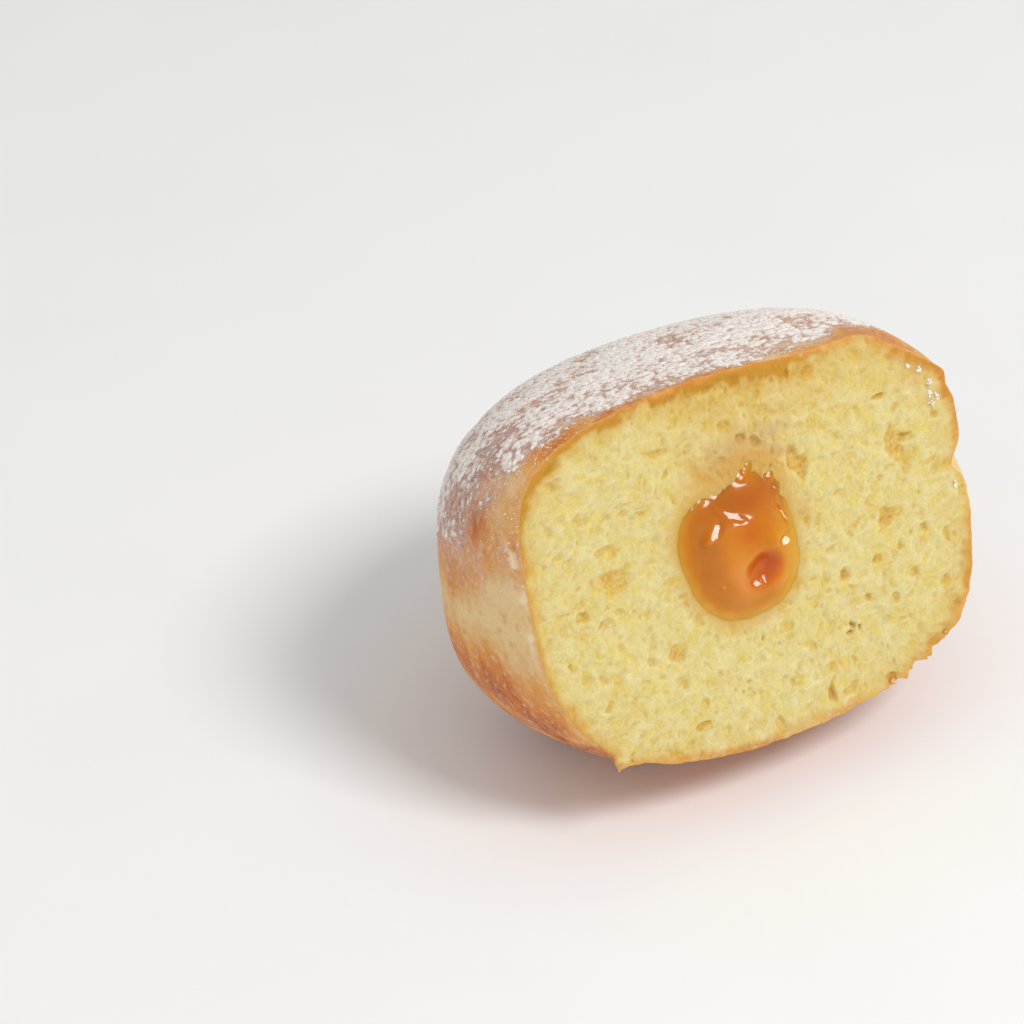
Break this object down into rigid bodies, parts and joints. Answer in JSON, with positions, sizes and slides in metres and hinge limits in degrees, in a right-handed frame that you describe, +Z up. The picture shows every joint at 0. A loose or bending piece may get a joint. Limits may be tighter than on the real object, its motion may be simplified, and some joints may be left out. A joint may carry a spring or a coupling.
{
  "type": "mini filled doughnut",
  "caption": "Small round filled doughnut with a slice cut off its front, showing yellow crumb and a caramel filling, dusted with icing sugar, leaning back on its base.",
  "frame": {"origin": "centre of the bounding box in plan, at the level of the flattened base", "axes": "+Z up, -Y out of the cut face, which leans back, and +X to the right along the cut"},
  "size_m": [0.0604, 0.049, 0.0474],
  "materials": {
    "dough": "soft matte yellow crumb inside a thin orange-brown fried crust",
    "caramel": "glossy translucent orange caramel",
    "icing_sugar": "dry white powder"
  },
  "bodies": {
    "root": {"dough": "dough", "filling": "caramel"}
  },
  "joints": []
}
